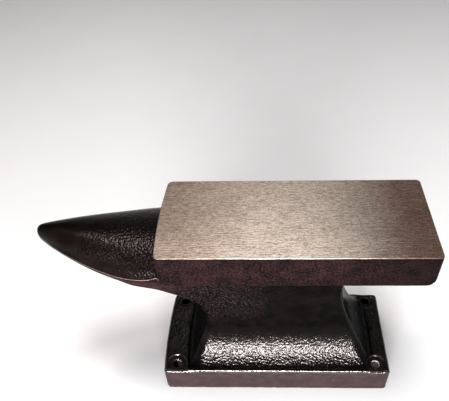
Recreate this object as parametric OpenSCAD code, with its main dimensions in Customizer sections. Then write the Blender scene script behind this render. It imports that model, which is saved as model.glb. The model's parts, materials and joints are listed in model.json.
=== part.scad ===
// Bench anvil: a flat table with a ground working face, a horn on the left end,
// a flared waist and a foot block with four bolt holes.
// The origin is the centre of the foot's underside. +X points to the table's heel,
// -X to the horn, +Z up. All sizes are in millimetres.

/* [Foot] */
// Length of the foot block along X
base_length = 150; // [144:1:156]
// Width of the foot block along Y
base_width = 66; // [66:1:70]
// Thickness of the foot block
base_thickness = 21; // [18:1:24]
// Radius of the foot's upright corners
base_corner_radius = 2.5; // [1:0.5:4]

/* [Bolt holes] */
// Diameter of the four bolt holes
hole_diameter = 5.8; // [5.2:0.1:6.6]
// Hole spacing along X
hole_spacing_x = 132; // [130:1:133]
// Hole spacing along Y
hole_spacing_y = 53; // [50:1:53]
// Diameter of the flat pocket around each hole
spot_face_diameter = 12.5; // [11:0.5:12.5]
// Depth of the flat pocket around each hole
spot_face_depth = 0.5; // [0.3:0.1:1]

/* [Table] */
// Height of the working face above the bench
anvil_height = 130; // [128:1:136]
// Length of the table along X
table_length = 150; // [140:1:160]
// Width of the table along Y
table_width = 64; // [60:1:66]
// Thickness of the table with its working face
table_thickness = 22; // [20:1:24]
// Distance from the origin to the table's horn end
table_horn_end = 65; // [64:1:66]
// Radius of the table's upright corners
table_corner_radius = 2.5; // [1:0.5:4]
// Radius of the lower edges at the table's two ends
table_end_radius = 4.5; // [3:0.5:6]
// Depth of the ground and polished working face
work_face_depth = 1.5; // [1:0.5:3]

/* [Waist] */
// Height of the narrowest level, measured from the bench
waist_level = 61; // [58:1:64]
// Half depth of the waist at its narrowest level
waist_half_depth = 17; // [15:0.5:19]
// Half depth of the waist where it meets the table
waist_top_half_depth = 26; // [24:0.5:28]
// Distance from the origin to the narrowest level on the horn side
waist_left = 44.5; // [42:0.5:46]
// Distance from the origin to the waist's top on the heel side
waist_right = 38; // [36:0.5:40]
// Distance from the origin to the flare's foot on the horn side
flare_left = 57; // [55:0.5:58]
// Distance from the origin to the flare's foot on the heel side
flare_right = 63; // [60:0.5:64]

/* [Horn] */
// Length of the horn in front of the table's end
horn_length = 73.5; // [66:0.5:80]
// Half width of the horn at the table's end
horn_half_width = 27; // [25:0.5:28]
// Height of the horn's tip above the bench
horn_tip_height = 121; // [118:0.5:122]
// Height of the horn's crown at the table's end
horn_crown_height = 124; // [122:0.5:126]
// Height of the widest line at the table's end
horn_side_height = 111; // [109:0.5:113]
// Height of the horn's underside at the table's end
horn_keel_height = 84; // [82:0.5:88]

/* [Hidden] */
$fn = 64;
overlap = 1;
arc_steps = 10;
table_underside = anvil_height - table_thickness;
table_centre_x = table_length / 2 - table_horn_end;
// The flare's foot stays inside the foot block's rounded top edge.
flare_half_depth = base_width / 2 - 1;
// Corner between the flared horn side and the horn's belly
throat_radius = 13;
throat_turn = 65;
throat_centre = [-waist_left - throat_radius, waist_level + 7];
// Horn: the curves run over a Bezier parameter in this many steps.
horn_rings = 24;
ring_points = 36;
enamel = [0.09, 0.08, 0.08];
cast_side = [0.25, 0.21, 0.20];
ground_steel = [0.72, 0.66, 0.58];

// Points on an arc, angles in degrees from a to b.
function arc(centre, radius, a, b) = [
    for (i = [0:arc_steps])
        centre + radius * [cos(a + (b - a) * i / arc_steps), sin(a + (b - a) * i / arc_steps)]
];

// Radius of the arc that leaves a straight line at a tangent and has moved away
// from it by depth after the given run.
function flare_radius(run, depth) = (run * run + depth * depth) / (2 * depth);

// Arc that is upright at the point [x, z] and has moved away by depth when the
// height has changed by run; side is the direction of the move, 1 or -1.
function flare_arc(x, z, run, depth, side) =
    let (r = flare_radius(abs(run), depth), turn = asin(run / r))
    side > 0 ? arc([x + r, z], r, 180, 180 - turn) : arc([x - r, z], r, 0, turn);

function reversed(list) = [for (i = [len(list) - 1:-1:0]) list[i]];

module rounded_plate(length, width, radius, thickness) {
    linear_extrude(thickness)
        union() {
            square([length, width - 2 * radius], center = true);
            square([length - 2 * radius, width], center = true);
            for (sx = [-1, 1], sy = [-1, 1])
                translate([sx * (length / 2 - radius), sy * (width / 2 - radius)])
                    circle(r = radius);
        }
}

module at_bolt_holes() {
    for (sx = [-1, 1], sy = [-1, 1])
        translate([sx * hole_spacing_x / 2, sy * hole_spacing_y / 2, 0])
            children();
}

// Foot block with four through holes, each in a shallow flat pocket.
module base() {
    color(enamel)
        difference() {
            rounded_plate(base_length, base_width, base_corner_radius, base_thickness);
            at_bolt_holes() {
                translate([0, 0, -overlap])
                    cylinder(d = hole_diameter, h = base_thickness + 2 * overlap);
                translate([0, 0, base_thickness - spot_face_depth])
                    cylinder(d = spot_face_diameter, h = spot_face_depth + overlap);
            }
        }
}

// Outline of the waist seen from the front: X across, Z up.
module waist_elevation() {
    heel_side = flare_arc(
        waist_right, table_underside - 4,
        base_thickness - table_underside + 4, flare_right - waist_right, 1
    );
    horn_side = flare_arc(
        -waist_left, waist_level, base_thickness - waist_level, flare_left - waist_left, -1
    );
    throat = arc(throat_centre, throat_radius, 0, throat_turn);
    polygon(concat(
        reversed(heel_side),
        [[waist_right, table_underside], [-table_horn_end, table_underside]],
        [[-table_horn_end, horn_keel_height + 2]],
        reversed(throat),
        horn_side
    ));
}

// Outline of the waist seen from the end: Y across, Z up.
module waist_side_elevation() {
    lower = flare_arc(
        waist_half_depth, waist_level,
        base_thickness - waist_level, flare_half_depth - waist_half_depth, 1
    );
    upper = flare_arc(
        waist_half_depth, waist_level,
        table_underside - waist_level, waist_top_half_depth - waist_half_depth, 1
    );
    right_side = concat(reversed(lower), upper);
    left_side = [for (p = reversed(right_side)) [-p[0], p[1]]];
    polygon(concat(right_side, left_side));
}

// Waist: the two elevations cross, and the bolt pockets cut into its flare.
module waist() {
    color(enamel)
        difference() {
            intersection() {
                translate([0, base_width / 2, 0])
                    rotate([90, 0, 0])
                        linear_extrude(base_width)
                            waist_elevation();
                translate([-table_horn_end - overlap, 0, 0])
                    rotate([90, 0, 90])
                        linear_extrude(table_horn_end + base_length / 2)
                            waist_side_elevation();
            }
            at_bolt_holes()
                translate([0, 0, base_thickness - overlap])
                    cylinder(d = spot_face_diameter, h = base_thickness);
        }
}

// Cubic Bezier value of four control values.
function bezier(p, u) =
    p[0] * pow(1 - u, 3)
    + 3 * p[1] * u * pow(1 - u, 2)
    + 3 * p[2] * u * u * (1 - u)
    + p[3] * pow(u, 3);

// The horn's four outlines, from the table's end to the rounded tip: reach, half
// width, height of the widest line, height of the crown and height of the keel.
function horn_section(u) = [
    bezier([0, 0.39 * horn_length, horn_length, horn_length], u),
    bezier([horn_half_width, 1.1 * horn_half_width, 0.2 * horn_half_width, 0], u),
    bezier([horn_side_height, horn_side_height - 11, horn_tip_height, horn_tip_height], u),
    bezier([horn_crown_height, horn_crown_height - 1, horn_tip_height + 9, horn_tip_height], u),
    bezier([horn_keel_height, horn_keel_height + 4, horn_tip_height - 13, horn_tip_height], u)
];

// One ring of the horn: an elliptical crown over an elliptical belly.
function horn_ring(u) =
    let (s = horn_section(u))
    [for (i = [0:ring_points - 1])
        let (
            a = 360 * i / ring_points,
            rise = sin(a) >= 0 ? s[3] - s[2] : s[2] - s[4]
        )
        [-table_horn_end - s[0], s[1] * cos(a), s[2] + rise * sin(a)]
    ];

// Horn: rings joined by quadrilaterals and closed by the flat root and the tip.
module horn() {
    last = horn_rings - 1;
    rings = [for (k = [0:last]) horn_ring(k / horn_rings)];
    tip = [[-table_horn_end - horn_length, 0, horn_tip_height]];
    points = concat([for (r = rings, p = r) p], tip);
    sides = [
        for (k = [0:last - 1], i = [0:ring_points - 1])
            let (j = (i + 1) % ring_points)
            [
                k * ring_points + i, k * ring_points + j,
                (k + 1) * ring_points + j, (k + 1) * ring_points + i
            ]
    ];
    nose = [
        for (i = [0:ring_points - 1])
            [last * ring_points + i, last * ring_points + (i + 1) % ring_points, len(points) - 1]
    ];
    root = [[for (i = [ring_points - 1:-1:0]) i]];
    color(enamel)
        polyhedron(points = points, faces = concat(sides, nose, root));
}

// What is cut away under one end of the table to round its lower edge.
module end_edge_cutter() {
    rotate([90, 0, 0])
        linear_extrude(table_width + 2 * overlap, center = true)
            difference() {
                translate([-table_end_radius, -overlap])
                    square([table_end_radius + overlap, table_end_radius + overlap]);
                translate([-table_end_radius, table_end_radius])
                    circle(r = table_end_radius);
            }
}

// Table: the block under the working face.
module table() {
    color(cast_side)
        translate([table_centre_x, 0, table_underside])
            difference() {
                rounded_plate(
                    table_length, table_width, table_corner_radius,
                    table_thickness - work_face_depth
                );
                for (turn = [0, 180])
                    rotate([0, 0, turn])
                        translate([table_length / 2, 0, 0])
                            end_edge_cutter();
            }
}

// Working face: the ground top layer of the table.
module work_face() {
    color(ground_steel)
        translate([table_centre_x, 0, anvil_height - work_face_depth])
            rounded_plate(table_length, table_width, table_corner_radius, work_face_depth);
}

base();
waist();
horn();
table();
work_face();
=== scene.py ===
# Bench anvil: a black enamelled casting, a table with brown-black sides and a ground working face.
# Lengths in the shape code are in millimetres, as in the CAD; meshes are scaled to metres when made.
import json
import math

import bmesh
import bpy
import numpy as np
from mathutils import Matrix, Vector


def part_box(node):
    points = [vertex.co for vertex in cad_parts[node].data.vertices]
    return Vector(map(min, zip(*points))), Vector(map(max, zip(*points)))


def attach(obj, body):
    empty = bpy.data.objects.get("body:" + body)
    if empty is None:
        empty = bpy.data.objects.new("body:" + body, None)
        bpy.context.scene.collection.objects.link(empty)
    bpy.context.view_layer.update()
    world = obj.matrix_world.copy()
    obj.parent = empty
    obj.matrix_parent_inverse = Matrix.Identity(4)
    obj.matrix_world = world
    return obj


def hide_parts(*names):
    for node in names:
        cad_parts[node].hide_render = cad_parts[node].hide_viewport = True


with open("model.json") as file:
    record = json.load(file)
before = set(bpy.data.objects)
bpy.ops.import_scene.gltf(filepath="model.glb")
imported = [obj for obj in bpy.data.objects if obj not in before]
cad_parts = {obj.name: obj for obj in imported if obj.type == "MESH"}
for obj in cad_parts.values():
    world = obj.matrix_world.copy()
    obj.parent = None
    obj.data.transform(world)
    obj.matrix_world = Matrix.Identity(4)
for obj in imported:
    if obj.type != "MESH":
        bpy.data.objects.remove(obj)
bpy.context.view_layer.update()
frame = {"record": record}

MM = 0.001


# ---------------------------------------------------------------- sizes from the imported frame

def box_mm(node):
    low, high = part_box(node)
    return np.array(low) / MM, np.array(high) / MM


BASE_LOW, BASE_HIGH = box_mm("base")
HORN_LOW, HORN_HIGH = box_mm("horn")
TABLE_LOW, TABLE_HIGH = box_mm("table")
FACE_LOW, FACE_HIGH = box_mm("work_face")
bolts = next(m for m in frame["record"]["mounts"] if m["name"] == "foot_bolts")["dims"]
HOLE_X = bolts["spacing_x_mm"] / 2
HOLE_Y = bolts["spacing_y_mm"] / 2
HOLE_RADIUS = bolts["hole_r_mm"]

FOOT = BASE_HIGH[2]
UNDERSIDE = TABLE_LOW[2]
HORN_END = TABLE_LOW[0]
HEEL_END = TABLE_HIGH[0]
TABLE_HALF = TABLE_HIGH[1]
TOP = FACE_HIGH[2]
# The pieces meet just off the casting's own flat faces, so that each fillet ends on a clean plane.
CUT = 0.05


# ---------------------------------------------------------------- smooth combination of solids
# Each solid is a function of the place that is negative inside and about the distance outside.

def smooth_max(a, b, k):
    h = np.clip(0.5 + 0.5 * (a - b) / k, 0, 1)
    return b + (a - b) * h + k * h * (1 - h)


def smooth_min(a, b, k):
    return -smooth_max(-a, -b, k)


def smoothstep(low, high, v):
    t = np.clip((v - low) / (high - low), 0, 1)
    return t * t * (3 - 2 * t)


def corner_distance(a, b):
    """Distance from a square corner, where a and b are the distances from its two sides."""
    return np.hypot(np.maximum(a, 0), np.maximum(b, 0)) + np.minimum(np.maximum(a, b), 0)


def rounded_block(x, y, z, low, high, upright, edge):
    """Block with upright corners of radius upright and horizontal edges of radius edge."""
    centre = (low + high) / 2
    half = (high - low) / 2
    qx = np.abs(x - centre[0]) - half[0] + upright
    qy = np.abs(y - centre[1]) - half[1] + upright
    a = corner_distance(qx, qy) - upright + edge
    b = np.abs(z - centre[2]) - half[2] + edge
    return corner_distance(a, b) - edge


def bezier(p, u):
    v = 1 - u
    return p[0] * v**3 + 3 * p[1] * u * v**2 + 3 * p[2] * u**2 * v + p[3] * u**3


# ---------------------------------------------------------------- the casting

# Narrowest level, half depth there, and how far the waist swells towards the foot and the table.
WAIST_LEVEL = 61.0
SWELL_START = WAIST_LEVEL + 3
WAIST_HALF = 17.0
FLARE_SWELL = BASE_HIGH[1] - 1.6 - WAIST_HALF
TABLE_SWELL = 8.6
# The two ends of the waist seen from the front, and how far each runs out at the foot.
NECK_LEFT = -44.5
NECK_RIGHT = 39.0
RUN_LEFT = 12.5
RUN_RIGHT = 24.0
HEEL_ARC_TOP = UNDERSIDE - 16


def half_depth(z):
    """Half depth of the waist at height z: a flare below the narrowest level, a slow swell above."""
    below = np.clip((WAIST_LEVEL - z) / (WAIST_LEVEL - FOOT), 0, 1)
    above = np.clip((z - SWELL_START) / (UNDERSIDE - SWELL_START), 0, 1.02)
    return WAIST_HALF + FLARE_SWELL * below**3.0 + TABLE_SWELL * above**2


def right_edge(z):
    """The waist's outline on the heel side, seen from the front."""
    s = np.clip((HEEL_ARC_TOP - z) / (HEEL_ARC_TOP - FOOT), 0, 1.1)
    return NECK_RIGHT + RUN_RIGHT * s**2


def left_edge(z):
    """The waist's outline on the horn side, seen from the front."""
    s = np.clip((WAIST_LEVEL - z) / (WAIST_LEVEL - FOOT), 0, 1.1)
    return NECK_LEFT - RUN_LEFT * s**2.1


def slope_scaled(value, edge, z):
    """Turns a horizontal distance from a curved side into about the distance at right angles to it."""
    slope = edge(z + 0.5) - edge(z - 0.5)
    return value / np.sqrt(1 + slope**2)


# The wedge under the horn: where it starts, its slope and curve, and how far left it reaches.
THROAT_FOOT = np.array([-50.0, 74.8])
BELLY_SLOPE = math.radians(31)
BELLY_CURVE = 0.0022
BELLY_END = -98.0
BELLY_END_ROUNDING = 6.0


def belly_wedge(x, z):
    """The flat underside that rises from the throat towards the horn's side."""
    along = THROAT_FOOT[0] - x
    line = THROAT_FOOT[1] + along * math.tan(BELLY_SLOPE) + BELLY_CURVE * np.clip(along, 0, 60) ** 2
    under = (line - z) * math.cos(BELLY_SLOPE)
    return smooth_max(under, BELLY_END - x, BELLY_END_ROUNDING)


# Beyond the table's end the waist reaches up only to the mould's parting line; the horn is above it.
PARTING_HEIGHT = 97.5


def waist_roof(x):
    """Top of the waist: inside the table under it, and down at the parting line beyond its end."""
    under_table = smoothstep(HORN_END - 2, HORN_END + 8, x)
    return PARTING_HEIGHT + (UNDERSIDE + 1 - PARTING_HEIGHT) * under_table


# Roundings where the waist's surfaces meet: throat, heel end, front with outline, bottom and roof.
THROAT_ROUNDING = 15.0
WAIST_END_ROUNDING = 2.0
WAIST_SIDE_ROUNDING = 5.0
WAIST_BOTTOM = FOOT - 4
WAIST_BOTTOM_ROUNDING = 2.0
ROOF_ROUNDING = 1.5


def waist_solid(x, y, z):
    """The front outline, with the throat rounded into it, crossed with the side outline."""
    right = slope_scaled(x - right_edge(z), right_edge, z)
    left = slope_scaled(left_edge(z) - x, left_edge, z)
    outline = smooth_min(left, belly_wedge(x, z), THROAT_ROUNDING)
    outline = smooth_max(outline, right, WAIST_END_ROUNDING)
    front = slope_scaled(np.abs(y) - half_depth(z), half_depth, z)
    solid = smooth_max(front, outline, WAIST_SIDE_ROUNDING)
    solid = smooth_max(solid, WAIST_BOTTOM - z, WAIST_BOTTOM_ROUNDING)
    return smooth_max(solid, z - waist_roof(x), ROOF_ROUNDING)


# The horn's curves run on past its blunt end, which is then cut and rounded.
HORN_LENGTH = HORN_END - HORN_LOW[0] + 3.0
TIP_ROUNDING = 3.0
HORN_HALF = HORN_HIGH[1]
TIP_HEIGHT = 121.5
# Under the widest line the section is flatter than an ellipse, and the mould left a bead along it.
CROWN_POWER = 2.0
BELLY_POWER = 1.8
BEAD_HEIGHT = 0.5
BEAD_WIDTH = 0.9


def horn_outlines():
    """Reach from the table's end, squared half width, height of the widest line, and the squared
    rises above and below it. Each Bezier curve runs from the table's end to the tip."""
    u = 1 - np.linspace(1, 0, 200) ** 1.6
    reach = bezier((0, 0.338 * HORN_LENGTH, HORN_LENGTH, HORN_LENGTH), u)
    half = bezier((HORN_HALF - 0.5, 1.156 * HORN_HALF, 0.138 * HORN_HALF, 0), u)
    side = bezier((110.5, 101, TIP_HEIGHT, TIP_HEIGHT), u)
    crown = bezier((124.3, 121.5, 127.3, TIP_HEIGHT), u)
    keel = bezier((84.5, 85.5, TIP_HEIGHT - 14, TIP_HEIGHT), u)
    return reach, half**2, side, (crown - side) ** 2, (side - keel) ** 2


HORN_REACH, HALF2, SIDE, RISE2, DROP2 = horn_outlines()
TIP_SLOPE = (HALF2[-2] - HALF2[-1]) / (HORN_REACH[-1] - HORN_REACH[-2])


# Squares and ratios of the section are kept off zero by this much near the tip.
LEAST = 0.02


def horn(x, y, z):
    """The blunt cone with its bead."""
    reach = HORN_END - x
    past = np.maximum(reach - HORN_LENGTH, 0)
    half2 = np.interp(reach, HORN_REACH, HALF2)
    side = np.interp(reach, HORN_REACH, SIDE)
    up2 = np.maximum(np.interp(reach, HORN_REACH, RISE2), LEAST)
    down2 = np.maximum(np.interp(reach, HORN_REACH, DROP2), LEAST)
    dz = z - side
    ratio = np.maximum(half2, LEAST) / np.where(dz > 0, up2, down2)
    power = np.where(dz > 0, CROWN_POWER, BELLY_POWER)
    across, down = np.abs(y) + 1e-6, np.sqrt(np.clip(ratio, 0.3, 12)) * np.abs(dz)
    level = (across**power + down**power) ** (2 / power) - half2 + TIP_SLOPE * past
    size = np.sqrt(np.maximum(level + half2, 0)) + np.sqrt(half2) + 1.5
    bead = BEAD_HEIGHT * np.exp(-((dz / BEAD_WIDTH) ** 2)) * smoothstep(6, 14, HORN_LENGTH - reach)
    cone = level / size / np.sqrt(np.clip(np.sqrt(ratio), 1, 3)) - bead
    return smooth_max(cone, HORN_LOW[0] - x, TIP_ROUNDING)


# Radius of the foot's and table's upright corners, and of the lower edge at the table's ends.
UPRIGHT_RADIUS = 2.5
END_RADIUS = 4.5
FACE_EDGE = 0.5


def free_of_horn(y):
    """1 at the table's corners, 0 where the horn joins its end and the lower edge isn't rounded."""
    return smoothstep(28, 31.5, np.abs(y))


def table_block(x, y, z):
    """The table with its face, with the lower edges of its two ends rounded."""
    block = rounded_block(x, y, z, TABLE_LOW, FACE_HIGH, UPRIGHT_RADIUS, FACE_EDGE)
    radius = END_RADIUS * np.where(x > 0, 1.0, free_of_horn(y)) + 0.01
    end = np.where(x > 0, x - HEEL_END, HORN_END - x)
    a = end + radius
    b = UNDERSIDE - z + radius
    corner = np.where((a > 0) & (b > 0), np.hypot(a, b) - radius, -1e3)
    return np.maximum(block, corner)


POCKET_RADIUS = 6.4
POCKET_DEPTH = 0.55
POCKET_REACH = 20.0


def bolt_holes(x, y, z):
    """Bores and the shallow pockets round them; both end above the foot, well under the horn."""
    axis = np.hypot(np.abs(x) - HOLE_X, np.abs(y) - HOLE_Y)
    over = z - FOOT - POCKET_REACH
    bore = np.maximum(axis - HOLE_RADIUS, over)
    pocket = np.maximum(np.maximum(axis - POCKET_RADIUS, FOOT - POCKET_DEPTH - z), over)
    return bore, pocket


def wave(x, y, z, length, seed):
    """Smooth waviness between -1 and 1 with about the given wavelength."""
    rng = np.random.default_rng(seed)
    total = 0.0
    for _ in range(7):
        direction = rng.normal(size=3)
        direction /= np.linalg.norm(direction)
        phase = rng.uniform(0, 2 * math.pi)
        k = 2 * math.pi / (length * rng.uniform(0.7, 1.4))
        total = total + np.sin(k * (direction[0] * x + direction[1] * y + direction[2] * z) + phase)
    return total / 7


# The horn runs this far into the waist behind the table's end.
HORN_ROOT = 5.0
HORN_ROOT_ROUNDING = 3.0
# The foot's block runs on below the floor, so that its lower edges are nearly sharp.
TOP_EDGE = 2.2
LOWER_EDGE = 0.8
BELOW_FLOOR = np.array([0, 0, 4.0])
# How softly the horn, the table and the foot run into the waist, and how the holes' edges are broken.
HORN_FILLET = 4.0
TABLE_FILLET = 2.5
FOOT_FILLET = 2.5
POCKET_EDGE = 0.8
BORE_EDGE = 0.6
# Amplitude, wavelength and seed of the waviness of the cast skin.
CAST_WAVES = ((0.10, 17, 3), (0.03, 5.5, 4))


def casting(x, y, z):
    """The whole iron casting, with the table's block in it so that the fillets run up to it."""
    block = rounded_block(x, y, z, BASE_LOW - BELOW_FLOOR, BASE_HIGH, UPRIGHT_RADIUS, TOP_EDGE)
    base = smooth_max(block, BASE_LOW[2] - z, LOWER_EDGE)
    waist = waist_solid(x, y, z)
    limb = smooth_max(horn(x, y, z), x - HORN_END - HORN_ROOT, HORN_ROOT_ROUNDING)
    body = smooth_min(waist, limb, HORN_FILLET)
    body = smooth_min(body, table_block(x, y, z), TABLE_FILLET)
    body = smooth_min(body, base, FOOT_FILLET)
    for amount, length, seed in CAST_WAVES:
        body = body + amount * wave(x, y, z, length, seed)
    bore, pocket = bolt_holes(x, y, z)
    body = smooth_max(body, -pocket, POCKET_EDGE)
    return smooth_max(body, -bore, BORE_EDGE)


# ---------------------------------------------------------------- surface extraction

def field_gradient(field, p, step=0.25):
    out = np.empty_like(p)
    for axis in range(3):
        shift = np.zeros(3)
        shift[axis] = step
        out[:, axis] = (field(*(p + shift).T) - field(*(p - shift).T)) / (2 * step)
    return out


def onto_surface(field, p, rounds):
    """Moves the points onto the zero surface in short steps along the gradient."""
    for _ in range(rounds):
        g = field_gradient(field, p)
        size2 = np.maximum((g**2).sum(1), 0.04)
        move = g * (field(*p.T) / size2)[:, None]
        length = np.linalg.norm(move, axis=1, keepdims=True)
        p = p - move * np.minimum(1, 0.5 / np.maximum(length, 1e-9))
    return p


# Grid layers worked out at a time.
SLAB = 40


def sampled(field, axes):
    """The field at every grid point, worked out slab by slab to save memory."""
    value = np.empty([len(a) for a in axes], np.float32)
    for start in range(0, len(axes[0]), SLAB):
        x, y, z = np.meshgrid(axes[0][start:start + SLAB], axes[1], axes[2], indexing="ij")
        value[start:start + SLAB] = field(x.ravel(), y.ravel(), z.ravel()).reshape(x.shape)
    return value


def net_points(value, inside):
    """Which cells the surface crosses, and in each the mean place of its edges' crossings, in cells."""
    cells = np.array(value.shape) - 1
    total = np.zeros((*cells, 3), np.float32)
    crossings = np.zeros(cells, np.int16)
    for axis in range(3):
        first, second = (a for a in range(3) if a != axis)
        for i, j in ((0, 0), (0, 1), (1, 0), (1, 1)):
            near = [slice(0, cells[a]) for a in range(3)]
            near[first] = slice(i, i + cells[first])
            near[second] = slice(j, j + cells[second])
            far = list(near)
            far[axis] = slice(1, 1 + cells[axis])
            va, vb = value[tuple(near)], value[tuple(far)]
            crosses = inside[tuple(near)] != inside[tuple(far)]
            total[..., axis] += np.where(crosses, va / np.where(crosses, va - vb, 1), 0)
            total[..., first] += i * crosses
            total[..., second] += j * crosses
            crossings += crosses
    used = crossings > 0
    return used, np.argwhere(used) + total[used] / crossings[used][:, None]


def net_quads(inside, used):
    """One quadrilateral round each grid edge that the surface crosses, facing outwards."""
    cells = np.array(inside.shape) - 1
    index = np.full(cells, -1, np.int64)
    index[used] = np.arange(used.sum())
    quads = []
    for axis in range(3):
        u, v = (axis + 1) % 3, (axis + 2) % 3
        near = [slice(1, cells[a]) for a in range(3)]
        near[axis] = slice(0, cells[axis])
        far = list(near)
        far[axis] = slice(1, 1 + cells[axis])
        a, b = inside[tuple(near)], inside[tuple(far)]
        at = np.argwhere(a != b)
        at[:, (u, v)] += 1
        leaving = a[a != b]
        ring = []
        for du, dv in ((-1, -1), (0, -1), (0, 0), (-1, 0)):
            c = at.copy()
            c[:, u] += du
            c[:, v] += dv
            ring.append(index[tuple(c.T)])
        ring = np.stack(ring, 1)
        ring[~leaving] = ring[~leaving][:, ::-1]
        quads.append(ring)
    return np.concatenate(quads)


def surface_nets(field, low, high, cell):
    """Closed quadrilateral mesh of the field's zero surface on a regular grid."""
    counts = np.ceil((high - low) / cell).astype(int) + 1
    axes = [low[i] + cell * np.arange(counts[i]) for i in range(3)]
    value = sampled(field, axes)
    inside = value < 0
    used, points = net_points(value, inside)
    return low + cell * points, net_quads(inside, used)


def relaxed(field, points, quads, rounds):
    """Evens out the mesh along the surface."""
    points = onto_surface(field, points, 2)
    ends = np.concatenate([quads[:, [i, (i + 1) % 4]] for i in range(4)])
    for _ in range(rounds):
        total = np.zeros_like(points)
        count = np.zeros(len(points))
        for a, b in ((0, 1), (1, 0)):
            np.add.at(total, ends[:, a], points[ends[:, b]])
            np.add.at(count, ends[:, a], 1)
        points = onto_surface(field, points + 0.5 * (total / count[:, None] - points), 1)
    return points


# ---------------------------------------------------------------- meshes and objects

BOW = 1.5


def bow(p):
    """The table's horn end swells outwards by a little; everything near it follows."""
    amount = BOW * (1 - np.clip(p[:, 1] / TABLE_HALF, -1, 1) ** 2)
    near = 1 - smoothstep(4, 30, np.abs(p[:, 0] - HORN_END))
    out = p.copy()
    out[:, 0] -= amount * near
    return out


def new_object(name, mesh):
    obj = bpy.data.objects.new(name, mesh)
    bpy.context.scene.collection.objects.link(obj)
    return obj


def mesh_from(name, points, faces):
    mesh = bpy.data.meshes.new(name)
    mesh.from_pydata(points.tolist(), [], faces if isinstance(faces, list) else faces.tolist())
    mesh.validate()
    mesh.update()
    return mesh


def cut_piece(source, name, planes):
    """A closed copy of the part of source on the inner side of every plane (point, inward normal)."""
    bm = bmesh.new()
    bm.from_mesh(source)
    caps = bm.faces.layers.int.new("cap")
    for point, inward in planes:
        geom = bm.verts[:] + bm.edges[:] + bm.faces[:]
        cut = bmesh.ops.bisect_plane(
            bm, geom=geom, dist=1e-5, plane_co=point, plane_no=inward, clear_inner=True
        )
        rim = [e for e in cut["geom_cut"] if isinstance(e, bmesh.types.BMEdge) and e.is_boundary]
        filled = bmesh.ops.triangle_fill(bm, use_beauty=True, use_dissolve=False, edges=rim)
        for f in filled["geom"]:
            if isinstance(f, bmesh.types.BMFace):
                f[caps] = 1
    bmesh.ops.recalc_face_normals(bm, faces=bm.faces)
    mesh = bpy.data.meshes.new(name)
    bm.to_mesh(mesh)
    bm.free()
    return mesh


def coordinates(mesh):
    co = np.empty(len(mesh.vertices) * 3)
    mesh.vertices.foreach_get("co", co)
    return co.reshape(-1, 3)


def set_coordinates(mesh, co):
    mesh.vertices.foreach_set("co", co.ravel())
    mesh.update()


def finish_casting_piece(mesh, name):
    """Object of one cut piece, shaded by the field's own normals except on its flat caps."""
    co = coordinates(mesh)
    normal = field_gradient(casting, co)
    normal /= np.linalg.norm(normal, axis=1, keepdims=True)
    flag = mesh.attributes["cap"].data
    cap = np.array([f.value for f in flag], bool)
    set_coordinates(mesh, bow(co) * MM)
    for polygon in mesh.polygons:
        polygon.use_smooth = True
    loops = []
    for polygon in mesh.polygons:
        flat = tuple(polygon.normal)
        for v in polygon.vertices:
            loops.append(flat if cap[polygon.index] else tuple(normal[v]))
    mesh.normals_split_custom_set(loops)
    mesh.attributes.remove(mesh.attributes["cap"])
    return new_object(name, mesh)


GRID_MARGIN = 2.0
FULL_CELL = 0.8
RELAX_ROUNDS = 4


def casting_pieces():
    """The casting as one mesh, then cut into base, waist and horn; the table is made apart."""
    low = np.array([HORN_LOW[0], BASE_LOW[1], 0]) - GRID_MARGIN
    high = np.array([HEEL_END, BASE_HIGH[1], TOP]) + GRID_MARGIN
    points, quads = surface_nets(casting, low, high, FULL_CELL)
    points = relaxed(casting, points, quads, RELAX_ROUNDS)
    whole = mesh_from("casting", points, quads)
    up, down = Vector((0, 0, 1)), Vector((0, 0, -1))
    left, right = Vector((-1, 0, 0)), Vector((1, 0, 0))
    seam = Vector((HORN_END - CUT, 0, 0))
    foot = Vector((0, 0, FOOT + CUT))
    roof = Vector((0, 0, UNDERSIDE - CUT))
    base = cut_piece(whole, "base_block", [(foot, down)])
    waist = cut_piece(whole, "waist_column", [(foot, up), (roof, down), (seam, right)])
    limb = cut_piece(whole, "horn_cone", [(foot, up), (seam, left)])
    bpy.data.meshes.remove(whole)
    return (
        finish_casting_piece(base, "base_block"),
        finish_casting_piece(waist, "waist_column"),
        finish_casting_piece(limb, "horn_cone"),
    )


def plan_outline(low, high, radius, spacing):
    """Points round a rectangle with rounded corners, anticlockwise, evenly spaced."""
    half = (high - low)[:2] / 2
    centre = (low + high)[:2] / 2
    corner = []
    for k, signs in enumerate(((1, 1), (-1, 1), (-1, -1), (1, -1))):
        at = np.array(signs) * (half - radius)
        for t in np.linspace(0, math.pi / 2, 5):
            a = t + k * math.pi / 2
            corner.append(centre + at + radius * np.array([math.cos(a), math.sin(a)]))
    out = []
    for i, a in enumerate(corner):
        b = corner[(i + 1) % len(corner)]
        steps = max(1, round(np.linalg.norm(b - a) / spacing))
        for s in range(steps):
            out.append(a + (b - a) * s / steps)
    return np.array(out)


def swept_plate(name, low, high, profile, shape):
    """Closed plate: profile is a list of (height, inset); shape moves the finished points."""
    outline = plan_outline(low, high, UPRIGHT_RADIUS, 1.2)
    centre = (low + high)[:2] / 2
    half = (high - low)[:2] / 2
    rings = []
    for height, inset in profile:
        scale = (half - inset) / half
        ring = centre + (outline - centre) * scale
        rings.append(np.column_stack([ring, np.full(len(ring), height)]))
    count = len(outline)
    faces = []
    for r in range(len(rings) - 1):
        for i in range(count):
            j = (i + 1) % count
            faces.append([r * count + i, r * count + j, (r + 1) * count + j, (r + 1) * count + i])
    faces.append(list(range(count))[::-1])
    faces.append([(len(rings) - 1) * count + i for i in range(count)])
    points = shape(np.concatenate(rings))
    mesh = mesh_from(name, bow(points) * MM, faces)
    return new_object(name, mesh)


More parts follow.
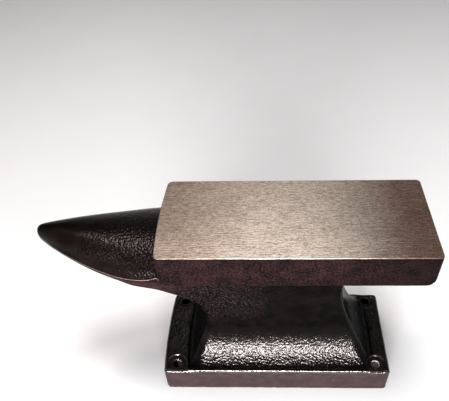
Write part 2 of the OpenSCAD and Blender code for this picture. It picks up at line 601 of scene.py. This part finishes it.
def arc_profile(z0, z1, steps, bottom, top):
    """Heights and insets up a side whose lower and upper edges are rounded by bottom and top."""
    out = []
    for a in np.linspace(0, math.pi / 2, 5):
        out.append((z0 + bottom * (1 - math.cos(a)), bottom * (1 - math.sin(a))))
    for z in np.linspace(z0 + bottom, z1 - top, steps)[1:-1]:
        out.append((z, 0.0))
    for a in np.linspace(0, math.pi / 2, 4):
        out.append((z1 - top * (1 - math.sin(a)), top * (1 - math.cos(a))))
    return out


def round_lower_ends(p):
    """Rounds the lower edges at the table's two ends, as table_block does."""
    rise = np.clip(END_RADIUS - (p[:, 2] - UNDERSIDE), 0, END_RADIUS)
    inset = END_RADIUS - np.sqrt(np.maximum(END_RADIUS**2 - rise**2, 0))
    centre = (HORN_END + HEEL_END) / 2
    at_end = np.where(p[:, 0] > centre, 1.0, free_of_horn(p[:, 1]))
    closeness = smoothstep(16, 0, np.abs(np.abs(p[:, 0] - centre) - (HEEL_END - HORN_END) / 2))
    out = p.copy()
    out[:, 0] -= np.sign(p[:, 0] - centre) * inset * at_end * closeness
    return out


# Amplitude, wavelength and seed of the waviness of the table's long sides and of its ends.
SIDE_WAVE = (0.12, 16, 8)
END_WAVE = (0.10, 14, 9)


def waviness(p, settings):
    amount, length, seed = settings
    return amount * wave(p[:, 0], p[:, 1], p[:, 2], length, seed)


def cast_side_shape(p):
    """The table's sides, rounded below and slightly wavy."""
    p = round_lower_ends(p)
    out = p.copy()
    side = np.abs(p[:, 1]) > TABLE_HALF - 3
    out[:, 1] += np.where(side, waviness(p, SIDE_WAVE), 0)
    out[:, 0] += np.where(~side, waviness(p, END_WAVE), 0)
    return out


def table_pieces():
    table_side = arc_profile(UNDERSIDE, TABLE_HIGH[2], 14, 1.0, 0.02)
    face_side = arc_profile(FACE_LOW[2], TOP, 3, 0.02, 0.4)
    return (
        swept_plate("table_block", TABLE_LOW, TABLE_HIGH, table_side, cast_side_shape),
        swept_plate("ground_working_face", FACE_LOW, FACE_HIGH, face_side, cast_side_shape),
    )


# ---------------------------------------------------------------- materials

class Nodes:
    """Short names for building one material's node tree. Coordinates are object space in metres."""

    def __init__(self, name):
        self.material = bpy.data.materials.new(name)
        self.material.use_nodes = True
        self.tree = self.material.node_tree
        self.shader = self.tree.nodes["Principled BSDF"]
        self.place = self.node("ShaderNodeTexCoord").outputs["Object"]

    def node(self, kind, **settings):
        n = self.tree.nodes.new(kind)
        for key, value in settings.items():
            setattr(n, key, value)
        return n

    def link(self, a, b):
        self.tree.links.new(a, b)

    def put(self, socket, value):
        """Links a node's output to the socket, or sets the socket's own constant."""
        if isinstance(value, bpy.types.NodeSocket):
            self.link(value, socket)
        else:
            socket.default_value = value

    def scaled(self, sx, sy, sz):
        m = self.node("ShaderNodeMapping")
        m.inputs["Scale"].default_value = (sx, sy, sz)
        self.link(self.place, m.inputs["Vector"])
        return m.outputs["Vector"]

    def noise(self, size_mm, detail=2.0, rough=0.5, vector=None):
        n = self.node("ShaderNodeTexNoise")
        self.link(vector or self.place, n.inputs["Vector"])
        n.inputs["Scale"].default_value = 1 / (size_mm * MM)
        n.inputs["Detail"].default_value = detail
        n.inputs["Roughness"].default_value = rough
        return n.outputs["Fac"]

    def cells(self, size_mm):
        n = self.node("ShaderNodeTexVoronoi", feature="SMOOTH_F1")
        self.link(self.place, n.inputs["Vector"])
        n.inputs["Scale"].default_value = 1 / (size_mm * MM)
        return n.outputs["Distance"]

    def math(self, kind, a, b=0.0, clamp=False):
        n = self.node("ShaderNodeMath", operation=kind, use_clamp=clamp)
        self.put(n.inputs[0], a)
        self.put(n.inputs[1], b)
        return n.outputs[0]

    def product(self, *values):
        out = values[0]
        for value in values[1:]:
            out = self.math("MULTIPLY", out, value)
        return out

    def weighted(self, *terms):
        """Sum of values, each times its weight."""
        parts = [self.product(value, weight) for value, weight in terms]
        out = parts[0]
        for part in parts[1:]:
            out = self.math("ADD", out, part)
        return out

    def span(self, value, a, b, c, d):
        """Goes smoothly from c to d while value goes from a to b."""
        n = self.node("ShaderNodeMapRange", interpolation_type="SMOOTHSTEP")
        self.put(n.inputs["Value"], value)
        for key, v in (("From Min", a), ("From Max", b), ("To Min", c), ("To Max", d)):
            n.inputs[key].default_value = v
        return n.outputs["Result"]

    def mix(self, factor, a, b):
        n = self.node("ShaderNodeMix", data_type="RGBA")
        self.put(n.inputs["Factor"], factor)
        self.put(n.inputs["A"], a)
        self.put(n.inputs["B"], b)
        return n.outputs["Result"]

    def bump(self, height, distance_mm=1.0):
        n = self.node("ShaderNodeBump")
        n.inputs["Strength"].default_value = 1.0
        n.inputs["Distance"].default_value = distance_mm * MM
        self.link(height, n.inputs["Height"])
        return n.outputs["Normal"]

    def shade(self, value, a, b, dark, light):
        """Colour that goes smoothly from dark to light while value goes from a to b."""
        return self.mix(self.span(value, a, b, 0, 1), dark, light)

    def axis(self, index):
        n = self.node("ShaderNodeSeparateXYZ")
        self.link(self.place, n.inputs[0])
        return n.outputs[index]

    def along(self, index, a, b, c, d):
        """Goes smoothly from c to d while the place goes from a to b millimetres along an axis."""
        return self.span(self.axis(index), a * MM, b * MM, c, d)

    def facing_up(self):
        """The surface normal's Z: 1 on a level top, -1 underneath."""
        n = self.node("ShaderNodeSeparateXYZ")
        self.link(self.node("ShaderNodeNewGeometry").outputs["Normal"], n.inputs[0])
        return n.outputs[2]

    def finished(self, inputs):
        """The material, with each shader input set on its own socket or linked to a node."""
        for name, value in inputs.items():
            self.put(self.shader.inputs[name], value)
        return self.material


X, Y, Z = 0, 1, 2

# Enamel, as its darkest and lightest tone.
BLACK = ((0.0012, 0.0010, 0.0010, 1), (0.0032, 0.0025, 0.0025, 1))
BROWN_BLACK = ((0.004, 0.003, 0.003, 1), (0.007, 0.0055, 0.005, 1))
# Lighter black for the foot, painted light where the table shades its top.
BLACK_WITH_PAINTED_LIGHT = ((0.014, 0.012, 0.012, 1), (0.025, 0.021, 0.021, 1))
# Colours painted on the casting as light: the floor's reflection on the foot's sides and the horn's
# underside, sparkle on pebble tops, and a highlight line along the horn's parting line.
PAINTED_FOOT_REFLECTION = ((0.0165, 0.0105, 0.0120, 1), (0.0235, 0.0160, 0.0180, 1))
PAINTED_BELLY_REFLECTION = ((0.012, 0.0065, 0.0065, 1), (0.022, 0.0125, 0.0125, 1))
PAINTED_SPARKLE = (0.027, 0.019, 0.021, 1)
PAINTED_LINE_HIGHLIGHT = (0.16, 0.12, 0.115, 1)
# The table's cast side, the ground steel, its painted shade at the edges and heel, the front bores'
# painted light, the floor.
CAST_SIDE = ((0.0005, 0.0002, 0.0002, 1), (0.0160, 0.0074, 0.0082, 1))
GROUND = ((0.25, 0.213, 0.190, 1), (0.72, 0.655, 0.60, 1))
PAINTED_SHADE_BROWN = ((0.130, 0.096, 0.066, 1), (0.168, 0.074, 0.046, 1))
PAINTED_LIGHT_BORE = ((0.86, 0.85, 0.83, 1), (0.95, 0.94, 0.92, 1))
FLOOR = ((0.78, 0.83, 0.87, 1), (0.81, 0.86, 0.905, 1))
FLOOR_GLOW = (0.95, 0.97, 1.0, 1)


def pooled_on_flare(m):
    """Weight of the glassy top layer where the enamel has run down the waist and pooled."""
    return m.along(Z, 36, 54, 0.26, 0.0)


def pooled_on_horn(m):
    """Weight of the glassy top layer on the horn's upper side."""
    return m.along(Z, 114.5, 119, 0.0, 0.52)


def pooled_on_rim(m):
    """Weight of the glassy top layer along the foot's rounded top edges."""
    return m.along(Z, FOOT - 2.6, FOOT - 1.8, 0.0, 0.6)


def sparkle_on_waist(m):
    """Where the pebbles' tops get a painted sparkle: the waist's horn side, above the flare."""
    return m.product(m.along(X, -26, 6, 1.0, 0.0), m.along(Z, 50, 66, 0.0, 1.0))


def sparkle_on_horn(m):
    """The same painted sparkle on the horn's upper side, near the table."""
    return m.product(m.along(X, -122, -92, 0.0, 1.0), m.along(Z, 113.5, 117.5, 0.0, 1.0))


def parting_line_highlight(m):
    """Painted highlight: a thin light line under the bead that the mould's joint left along the horn's
    sides.
    """
    low = m.span(m.facing_up(), -0.50, -0.46, 0.0, 1.0)
    high = m.span(m.facing_up(), -0.34, -0.38, 0.0, 1.0)
    lowest = m.along(X, -90, -134, 0.1055, 0.1150)
    above_belly = m.span(m.math("SUBTRACT", m.axis(Z), lowest), -0.0002, 0.0004, 0.0, 1.0)
    beyond_table = m.along(X, HORN_END - 1.0, HORN_END, 1.0, 0.0)
    return m.product(low, high, m.product(above_belly, beyond_table))


def pebbled_skin(m):
    """Height of the sand-cast pebbles: calmer at the horn's point and on the waist's heel side."""
    skin = m.weighted((m.cells(1.3), 0.30), (m.noise(0.8, 2), 0.12))
    skin = m.product(skin, m.along(X, -112, -84, 0.10, 1.0))
    above_flare = m.product(m.along(Z, 40, 54, 0.0, 1.0), m.along(X, -30, 12, 0.2, 0.9))
    below_horn = m.along(Z, 80, 90, 1.0, 0.0)
    return m.product(skin, m.math("SUBTRACT", 1.0, m.product(above_flare, below_horn)))


def painted_reflection_tone(m, tones):
    """Brown, slightly blotched colour, painted reflection of the floor."""
    return m.shade(m.noise(5, 4), 0.3, 0.7, *tones)


def with_painted_side_reflection(m, colour, roughness, skin):
    """The foot's upright sides, below a glossy rim, get brown painted reflection of the floor and are
    made duller.
    """
    side = m.along(Z, FOOT - 4.4, FOOT - 3.0, 1.0, 0.0)
    rim = m.along(Z, FOOT - 0.8, FOOT - 0.2, 0.12, 0.55)
    # Brown painted for the floor's reflection on the foot's sides.
    colour = m.mix(side, colour, painted_reflection_tone(m, PAINTED_FOOT_REFLECTION))
    roughness = m.math("ADD", roughness, m.product(side, 0.30))
    return colour, roughness, m.product(skin, m.math("MAXIMUM", rim, m.product(side, 0.22)))


def with_painted_belly_reflection(m, colour, roughness, skin):
    """The horn's underside, below the parting line, gets brown painted reflection of the floor and is
    made duller.
    """
    under = m.product(m.span(m.facing_up(), -0.42, -0.16, 1.0, 0.0), m.along(X, -54, -48, 1.0, 0.0))
    # Brown painted for the floor's reflection on the horn's downward-facing underside.
    colour = m.mix(under, colour, painted_reflection_tone(m, PAINTED_BELLY_REFLECTION))
    roughness = m.math("ADD", roughness, m.product(under, 0.35))
    # A light line painted as a highlight along the parting line.
    return m.mix(parting_line_highlight(m), colour, PAINTED_LINE_HIGHLIGHT), roughness, skin


def enamel_material(name, gloss, tones, painted_reflection, pooled, sparkle_mask=None):
    """Black enamel over a pebbly cast skin. painted_reflection paints the floor's reflection on part of
    it and makes it duller, pooled gives the weight of the glassy top layer, and sparkle_mask says where
    the pebbles' tops get a painted sparkle."""
    m = Nodes(name)
    colour = m.shade(m.noise(9, 3), 0.35, 0.65, *tones)
    if sparkle_mask:
        # Painted sparkle: lighter pebble tops stand in for glints of light.
        tops = m.span(m.noise(0.9, 2, 0.6), 0.50, 0.68, 0.0, 1.0)
        colour = m.mix(m.product(sparkle_mask(m), tops), colour, PAINTED_SPARKLE)
    roughness = m.span(m.noise(4, 3), 0.3, 0.7, 0.13, 0.21)
    colour, roughness, skin = painted_reflection(m, colour, roughness, pebbled_skin(m))
    relief = m.bump(m.math("ADD", skin, m.product(m.noise(6, 2), 0.10)))
    return m.finished({
        "Base Color": colour,
        "Roughness": roughness,
        "IOR": 1.45,
        "Specular IOR Level": gloss,
        "Normal": relief,
        "Coat Weight": pooled(m),
        "Coat Roughness": 0.20,
        "Coat Normal": relief,
    })


def cast_side_material():
    """Thin brown-black coat over a fine cast surface, darkest towards the heel."""
    m = Nodes("brown_cast_side")
    tone = m.weighted((m.noise(7, 4), 0.3), (m.noise(1.1, 3, 0.6), 0.7))
    brown = m.shade(tone, 0.38, 0.62, *CAST_SIDE)
    height = m.weighted((m.noise(1.1, 3, 0.6), 0.40), (m.noise(5, 2), 0.25))
    return m.finished({
        "Base Color": m.mix(m.along(X, 20, HEEL_END, 0.0, 0.55), brown, CAST_SIDE[0]),
        "Roughness": m.span(m.noise(3, 3), 0.3, 0.7, 0.42, 0.56),
        "IOR": 1.4,
        "Specular IOR Level": 0.06,
        "Normal": m.bump(height),
    })


def ground_steel_material():
    """Steel ground along X: short fine strokes and speckle, with painted shade: darker and browner
    towards its edges and the heel.
    """
    m = Nodes("ground_steel")
    stroke = m.noise(1.0, 3, 0.65, m.scaled(0.30, 1.9, 1))
    long_stroke = m.noise(1.0, 3, 0.6, m.scaled(0.06, 1.1, 1))
    speck = m.noise(0.75, 2, 0.6)
    tone = m.weighted((stroke, 0.45), (long_stroke, 0.20), (speck, 0.25), (m.noise(16, 3, 0.5), 0.10))
    # Painted shade: the steel turns darker and browner towards the heel, the back and the horn end.
    heel = m.along(X, 22, HEEL_END, 0.0, 1.0)
    back = m.along(Y, -TABLE_HALF, TABLE_HALF, 0.0, 0.34)
    horn_side = m.along(X, HORN_END, -5, 0.52, 0.0)
    edges = m.math("ADD", m.math("ADD", heel, back), horn_side)
    brown = m.math("MULTIPLY", m.span(m.noise(30, 3), 0.3, 0.7, 0.55, 1.0), edges, clamp=True)
    in_strokes = m.span(tone, 0.40, 0.60, 0.95, 0.55)
    steel = m.shade(tone, 0.38, 0.62, *GROUND)
    tangent = m.node("ShaderNodeTangent", direction_type="RADIAL", axis="X")
    return m.finished({
        "Base Color": m.mix(m.product(brown, in_strokes), steel, m.mix(heel, *PAINTED_SHADE_BROWN)),
        "Metallic": 1.0,
        "Roughness": m.span(tone, 0.35, 0.65, 0.48, 0.36),
        "Anisotropic": 0.6,
        "Tangent": tangent.outputs["Tangent"],
        "Normal": m.bump(m.weighted((stroke, 0.05), (speck, 0.03))),
    })


def lit_bore_material():
    """Pale wall of the two front bolt holes, painted light."""
    m = Nodes("painted_light_bore")
    grain = m.noise(0.9, 3, 0.6, m.scaled(1, 1, 3))
    return m.finished({
        "Base Color": m.shade(grain, 0.3, 0.7, *PAINTED_LIGHT_BORE),
        "Roughness": 0.5,
        "Normal": m.bump(grain, 0.04),
    })


def floor_material():
    """Plain and pale; it glows faintly far out, where the lights don't reach."""
    m = Nodes("pale_floor")
    distance = m.node("ShaderNodeVectorMath", operation="LENGTH")
    m.link(m.place, distance.inputs[0])
    return m.finished({
        "Base Color": m.mix(m.noise(60, 2), *FLOOR),
        "Roughness": 0.9,
        "Emission Color": FLOOR_GLOW,
        "Emission Strength": m.span(distance.outputs["Value"], 0.7, 2.4, 0.0, 0.60),
    })


def paint_faces(obj, chosen, slot):
    for polygon in obj.data.polygons:
        if chosen(polygon):
            polygon.material_index = slot


# Margin and top of the front bores' painted light.
LIT_BORE_MARGIN = 0.12
LIT_BORE_TOP = FOOT - 0.9
STEEP = 0.35


def in_lit_front_bore(polygon):
    """On the wall of one of the two front bolt holes, below its pocket, where the pale painted light
    goes.
    """
    x, y, z = (v / MM for v in polygon.center)
    on_wall = math.hypot(abs(x) - HOLE_X, abs(y) - HOLE_Y) < HOLE_RADIUS + LIT_BORE_MARGIN
    # Only the front holes get the pale painted light; the back holes keep the dark enamel as painted
    # shade.
    return on_wall and z < LIT_BORE_TOP and y < 0


def on_face_side(polygon):
    """On the working face's upright rim, which is coated like the table under it."""
    return abs(polygon.normal.z) < STEEP


# ---------------------------------------------------------------- stage, lights and camera

# The camera as fitted to the straight edges of the table and foot in the photo.
EYE = Vector((-5.144, -211.261, 324.821)) * MM
PITCH, YAW, ROLL = (math.radians(a) for a in (45.003, 2.840, -2.207))
SENSOR_WIDTH = 36.0
LENS = 41.33
SHIFT = (-0.0568, 0.0835)


def camera():
    forward = Vector((0, math.cos(PITCH), -math.sin(PITCH)))
    up = Vector((0, math.sin(PITCH), math.cos(PITCH)))
    right = Vector((1, 0, 0))
    turn = Matrix.Rotation(YAW, 3, "Z")
    right, up, forward = turn @ right, turn @ up, turn @ forward
    c, s = math.cos(ROLL), math.sin(ROLL)
    right, up = right * c + up * s, up * c - right * s
    data = bpy.data.cameras.new("camera")
    data.sensor_width = SENSOR_WIDTH
    data.lens = LENS
    data.shift_x, data.shift_y = SHIFT
    data.clip_start = 0.01
    obj = new_object("camera", data)
    rotation = Matrix((right, up, -forward)).transposed().to_4x4()
    obj.matrix_world = Matrix.Translation(EYE) @ rotation
    bpy.context.scene.camera = obj


# The floor lies just under the foot, so that the two faces don't flicker. Lengths in metres.
FLOOR_HALF = 3.0
FLOOR_GAP = 0.00005


def floor():
    corners = FLOOR_HALF * np.array([[-1, -1, 0], [1, -1, 0], [1, 1, 0], [-1, 1, 0]])
    obj = new_object("floor", mesh_from("floor", corners, [[0, 1, 2, 3]]))
    obj.location.z = -FLOOR_GAP
    obj.data.materials.append(floor_material())


def panel(name, place, aim, width, height, power, colour):
    data = bpy.data.lights.new(name, "AREA")
    data.shape = "RECTANGLE"
    data.size = width
    data.size_y = height
    data.energy = power
    data.color = colour
    obj = new_object(name, data)
    obj.location = place
    direction = Vector(aim) - Vector(place)
    obj.rotation_euler = direction.to_track_quat("-Z", "Y").to_euler()


# How bright the room is from below the horizon (0) to overhead (1), and its tint.
ROOM_TINT = (1.0, 0.95, 0.92)
ROOM = ((0.0, 0.80), (0.24, 0.55), (0.48, 0.20), (0.66, 0.045), (1.0, 0.03))


def studio_world():
    """A pale horizon that fades into a dim ceiling."""
    world = bpy.data.worlds.new("studio")
    world.use_nodes = True
    nodes, links = world.node_tree.nodes, world.node_tree.links
    place = nodes.new("ShaderNodeTexCoord")
    split = nodes.new("ShaderNodeSeparateXYZ")
    ramp = nodes.new("ShaderNodeValToRGB")
    links.new(place.outputs["Generated"], split.inputs[0])
    links.new(split.outputs[2], ramp.inputs["Fac"])
    links.new(ramp.outputs["Color"], nodes["Background"].inputs["Color"])
    elements = ramp.color_ramp.elements
    while len(elements) < len(ROOM):
        elements.new(0.5)
    for element, (at, level) in zip(elements, ROOM):
        element.position = at
        element.color = (*(level * part for part in ROOM_TINT), 1)
    bpy.context.scene.world = world


# Each panel's name, place, aim, width, height, power in watts and colour.
PANELS = (
    ("over_horn", (-0.325, 0.198, 1.179), (-0.10, 0, 0.12), 0.15, 0.15, 2.6, (1.0, 0.80, 0.72)),
    ("over_table", (0.03, -0.05, 1.18), (0, 0, 0.12), 0.36, 0.36, 8.3, (1.0, 0.96, 0.92)),
    ("front", (-0.05, -0.95, 0.10), (0, 0, 0.03), 0.60, 0.13, 52.0, (1.0, 0.91, 0.87)),
    ("back", (0.0, 0.55, 1.08), (0, 0, 0.12), 0.36, 0.42, 1.0, (1.0, 0.95, 0.90)),
)
# The picture's tone; the exported model doesn't carry it.
TONE_GAMMA = 0.82


def lights():
    for settings in PANELS:
        panel(*settings)
    view = bpy.context.scene.view_settings
    view.view_transform = "Standard"
    view.gamma = TONE_GAMMA
    studio_world()


# ---------------------------------------------------------------- assembly

def dress(obj, node, slot, *materials):
    for material in materials:
        obj.data.materials.append(material)
    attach(obj, "root")
    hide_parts(node)


camera()
floor()
lights()

enamel = enamel_material(
    "black_enamel", 0.03, BLACK, painted_reflection=with_painted_belly_reflection, pooled=pooled_on_flare, sparkle_mask=sparkle_on_waist
)
horn_enamel = enamel_material(
    "horn_enamel", 0.03, BROWN_BLACK, painted_reflection=with_painted_belly_reflection, pooled=pooled_on_horn, sparkle_mask=sparkle_on_horn
)
# The foot's enamel: lighter black as painted light, brown sides as painted reflection.
foot_enamel = enamel_material(
    "foot_enamel", 0.20, BLACK_WITH_PAINTED_LIGHT, painted_reflection=with_painted_side_reflection, pooled=pooled_on_rim
)
cast_side = cast_side_material()
steel = ground_steel_material()
lit_bore_paint = lit_bore_material()

base_piece, waist_piece, horn_piece = casting_pieces()
table_piece, face_piece = table_pieces()

dress(base_piece, "base", "enamelled_casting", foot_enamel, lit_bore_paint)
dress(waist_piece, "waist", "enamelled_casting", enamel)
dress(horn_piece, "horn", "enamelled_casting", horn_enamel)
dress(table_piece, "table", "cast_side", cast_side)
dress(face_piece, "work_face", "ground_face", steel, cast_side)
paint_faces(base_piece, in_lit_front_bore, 1)
paint_faces(face_piece, on_face_side, 1)
